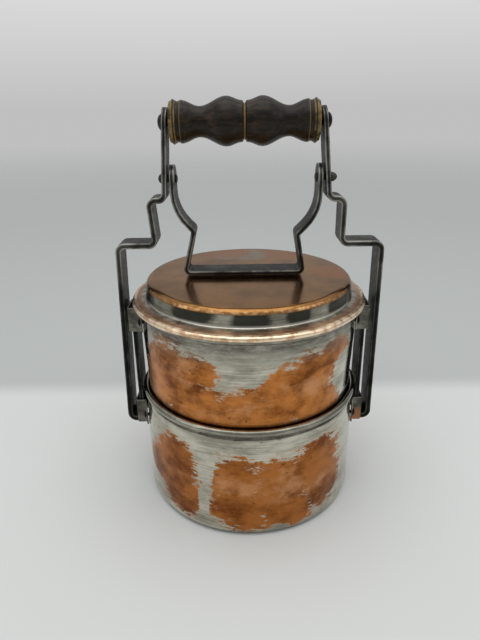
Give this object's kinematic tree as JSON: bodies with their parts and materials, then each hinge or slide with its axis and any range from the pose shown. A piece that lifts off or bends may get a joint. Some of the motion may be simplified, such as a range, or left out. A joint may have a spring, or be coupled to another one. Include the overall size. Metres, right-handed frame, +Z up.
{
  "type": "stacked food carrier",
  "caption": "Round two-tier metal food carrier with a lid, hairpin iron side straps, a swinging lock clamp over the lid and a turned wooden grip.",
  "frame": {"origin": "centre of the lower pan's flat base", "axes": "+X to the right along the grip, -Y towards the viewer's front, +Z up from the base to the grip"},
  "size_m": [0.1894, 0.1658, 0.2838],
  "materials": {
    "tinned_copper": "worn tin over copper, brushed, with bare copper patches",
    "bare_copper": "polished copper with worn tin",
    "dark_iron": "forged, dark, satin",
    "dark_wood": "turned, dark varnish, worn to brown at the ends"
  },
  "bodies": {
    "lower_pan_and_carrier": {"lower_pan": "tinned_copper", "lower_rim_wire": "dark_iron", "lower_ear_left": "dark_iron", "lower_ear_right": "dark_iron", "lower_ear_rivet_left_front": "dark_iron", "lower_ear_rivet_left_back": "dark_iron", "lower_ear_rivet_right_front": "dark_iron", "lower_ear_rivet_right_back": "dark_iron", "carrier_strap_left": "dark_iron", "carrier_strap_right": "dark_iron", "handle_rod": "dark_iron", "handle_washer_left": "dark_iron", "handle_washer_right": "dark_iron", "clamp_pivot_left": "dark_iron", "clamp_pivot_right": "dark_iron", "pivot_washer_left": "dark_iron", "pivot_washer_right": "dark_iron"},
    "lock_clamp": {"lock_clamp": "dark_iron"},
    "grip": {"grip": "dark_wood"},
    "upper_pan": {"upper_pan": "tinned_copper", "upper_rim_wire": "dark_iron", "upper_ear_left": "dark_iron", "upper_ear_right": "dark_iron", "upper_ear_rivet_left_front": "dark_iron", "upper_ear_rivet_left_back": "dark_iron", "upper_ear_rivet_right_front": "dark_iron", "upper_ear_rivet_right_back": "dark_iron"},
    "lid": {"lid": "bare_copper", "lid_rim_wire": "dark_iron"}
  },
  "joints": [
    {"name": "clamp_swing", "type": "hinge", "parent": "lower_pan_and_carrier", "child": "lock_clamp", "pos_m": [0, 0, 0.2335], "axis": [-1, 0, 0], "range_deg": [0, 130]},
    {"name": "grip_spin", "type": "hinge", "parent": "lower_pan_and_carrier", "child": "grip", "pos_m": [0, 0, 0.2686], "axis": [1, 0, 0], "continuous": true},
    {"name": "upper_pan_lift", "type": "slide", "parent": "lower_pan_and_carrier", "child": "upper_pan", "axis": [0, 0, 1], "range_m": [0, 0.0092]},
    {"name": "lid_lift", "type": "slide", "parent": "lower_pan_and_carrier", "child": "lid", "axis": [0, 0, 1], "range_m": [0, 0.012]}
  ],
  "couplings": [
    {"joint": "upper_pan_lift", "follows": "clamp_swing", "m_per_rad": 0.004},
    {"joint": "lid_lift", "follows": "clamp_swing", "m_per_rad": 0.0052}
  ]
}
